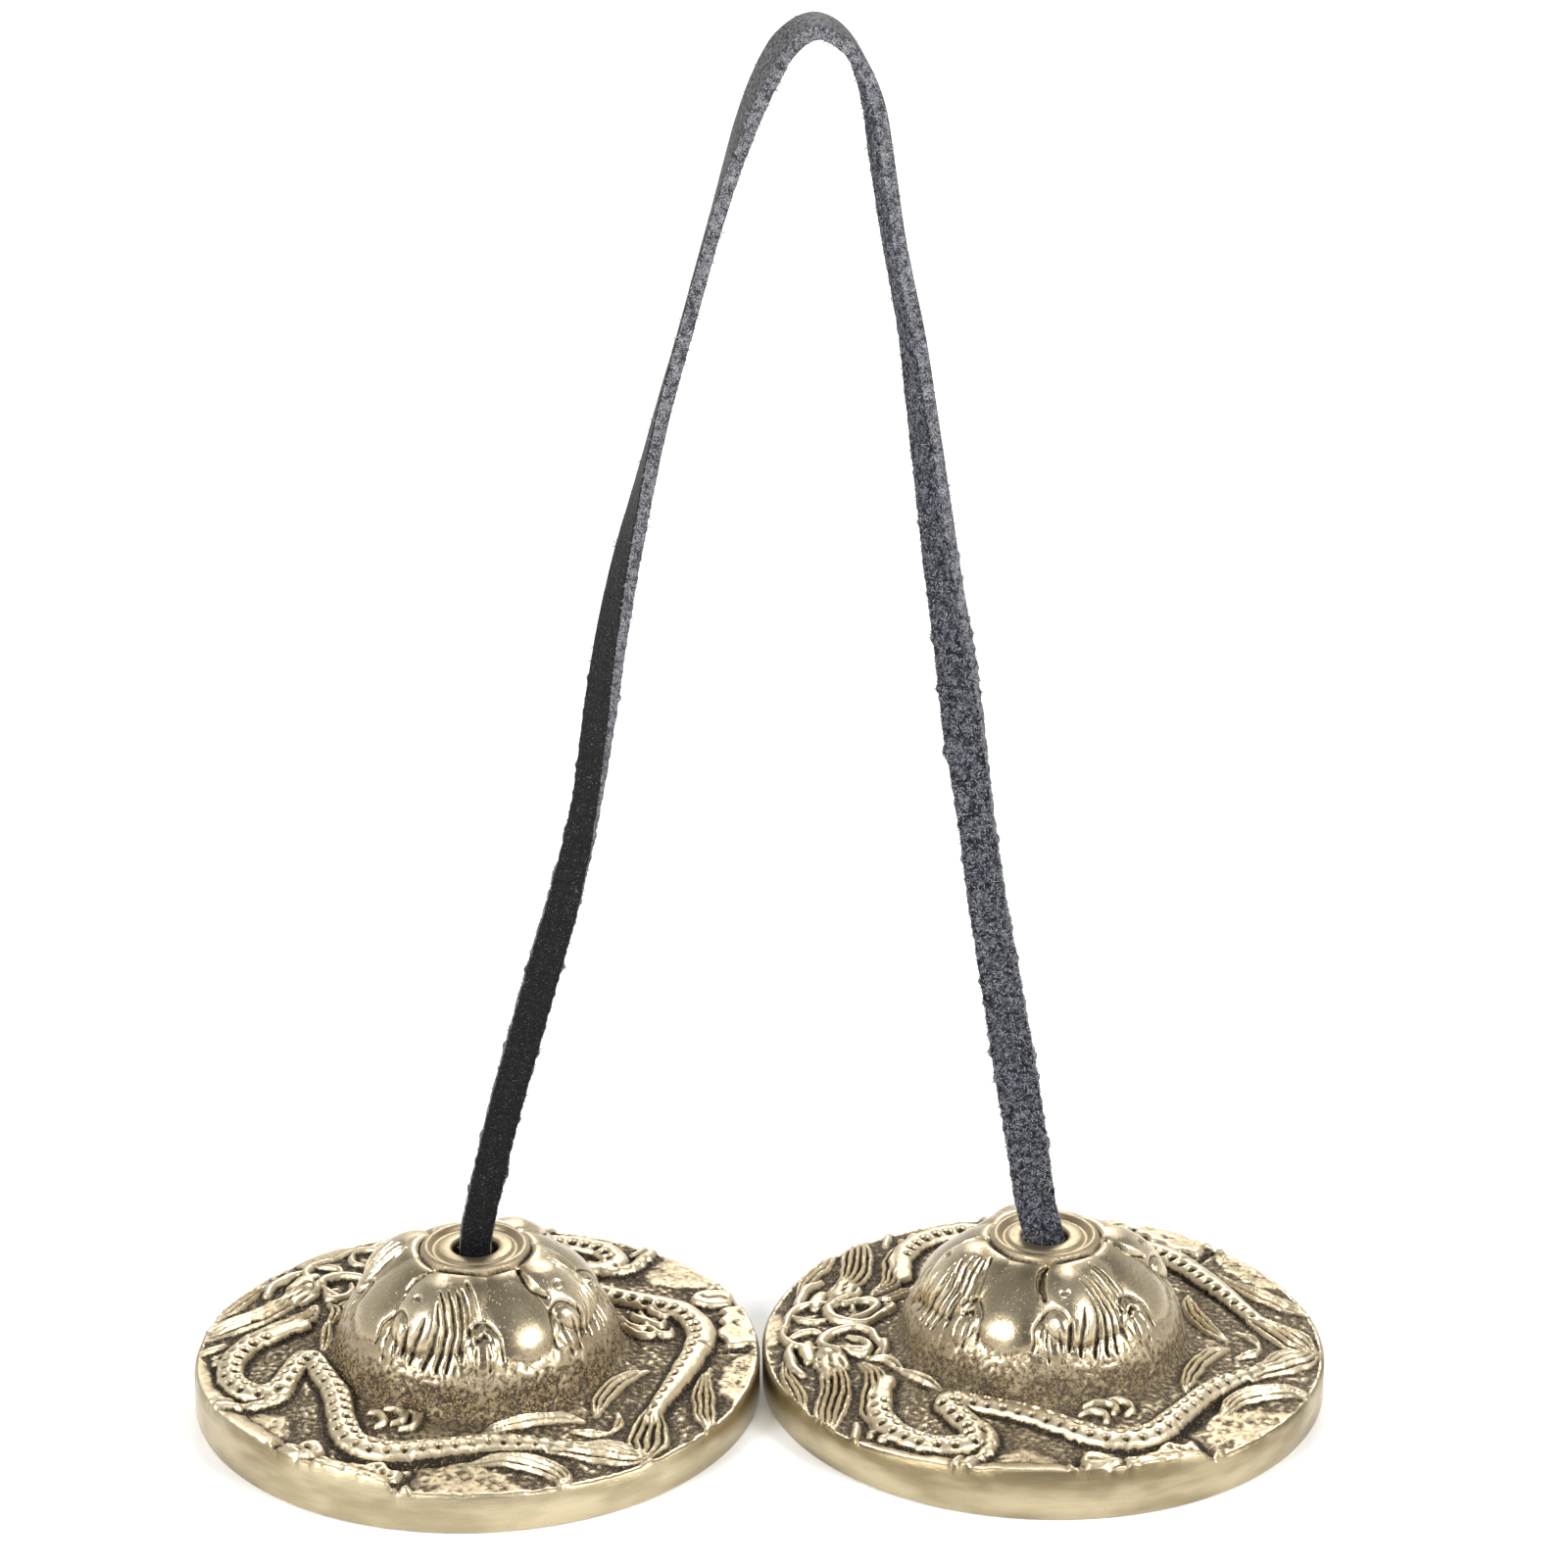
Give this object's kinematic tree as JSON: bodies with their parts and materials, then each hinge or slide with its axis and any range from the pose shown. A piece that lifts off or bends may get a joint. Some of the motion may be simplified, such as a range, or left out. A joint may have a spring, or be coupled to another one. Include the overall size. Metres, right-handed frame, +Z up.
{
  "type": "tingsha cymbals",
  "caption": "Thick cast bronze hand cymbals with dragon relief and domed centres, joined by a flat leather lace knotted inside each dome and standing in an arch.",
  "frame": {"origin": "on the ground midway between the two cymbals, which lie flat side by side, relief up", "axes": "+X from the left cymbal's centre to the right one's, +Y away from the side seen in the picture, +Z up through the arch of the lace"},
  "size_m": [0.1302, 0.065, 0.159],
  "materials": {
    "crown_leather": "dyed black split leather, grain side out",
    "left_leg_leather": "dyed black leather, smooth grain side",
    "right_leg_leather": "dyed blue-black leather, napped flesh side",
    "left_knot_leather": "dyed black leather, rolled in a knot",
    "right_knot_leather": "dyed black leather, rolled in a knot",
    "left_bronze": "cast bronze, satin high spots and dark patina in the recesses",
    "right_bronze": "cast bronze, satin high spots and dark patina in the recesses"
  },
  "bodies": {
    "crown": {"strap_crown": "crown_leather"},
    "left_leg": {"strap_left_leg": "left_leg_leather"},
    "right_leg": {"strap_right_leg": "right_leg_leather"},
    "left_end": {"left_knot": "left_knot_leather"},
    "right_end": {"right_knot": "right_knot_leather"},
    "left_disc": {"left_cymbal": "left_bronze"},
    "right_disc": {"right_cymbal": "right_bronze"}
  },
  "joints": [
    {"name": "left_leg_swing", "type": "hinge", "parent": "crown", "child": "left_leg", "pos_m": [-0.00346, 0, 0.14615], "axis": [0, 1, 0], "range_deg": [0, 50]},
    {"name": "right_leg_swing", "type": "hinge", "parent": "crown", "child": "right_leg", "pos_m": [0.01287, 0, 0.14673], "axis": [0, -1, 0], "range_deg": [0, 50]},
    {"name": "left_tilt", "type": "hinge", "parent": "left_leg", "child": "left_end", "pos_m": [-0.03265, 0, 0.01899], "axis": [1, 0, 0], "range_deg": [-75, 75]},
    {"name": "right_tilt", "type": "hinge", "parent": "right_leg", "child": "right_end", "pos_m": [0.03265, 0, 0.01899], "axis": [1, 0, 0], "range_deg": [-75, 75]},
    {"name": "left_spin", "type": "hinge", "parent": "left_end", "child": "left_disc", "pos_m": [-0.03265, 0, 0], "axis": [0, 0, 1], "continuous": true},
    {"name": "right_spin", "type": "hinge", "parent": "right_end", "child": "right_disc", "pos_m": [0.03265, 0, 0], "axis": [0, 0, 1], "continuous": true}
  ]
}
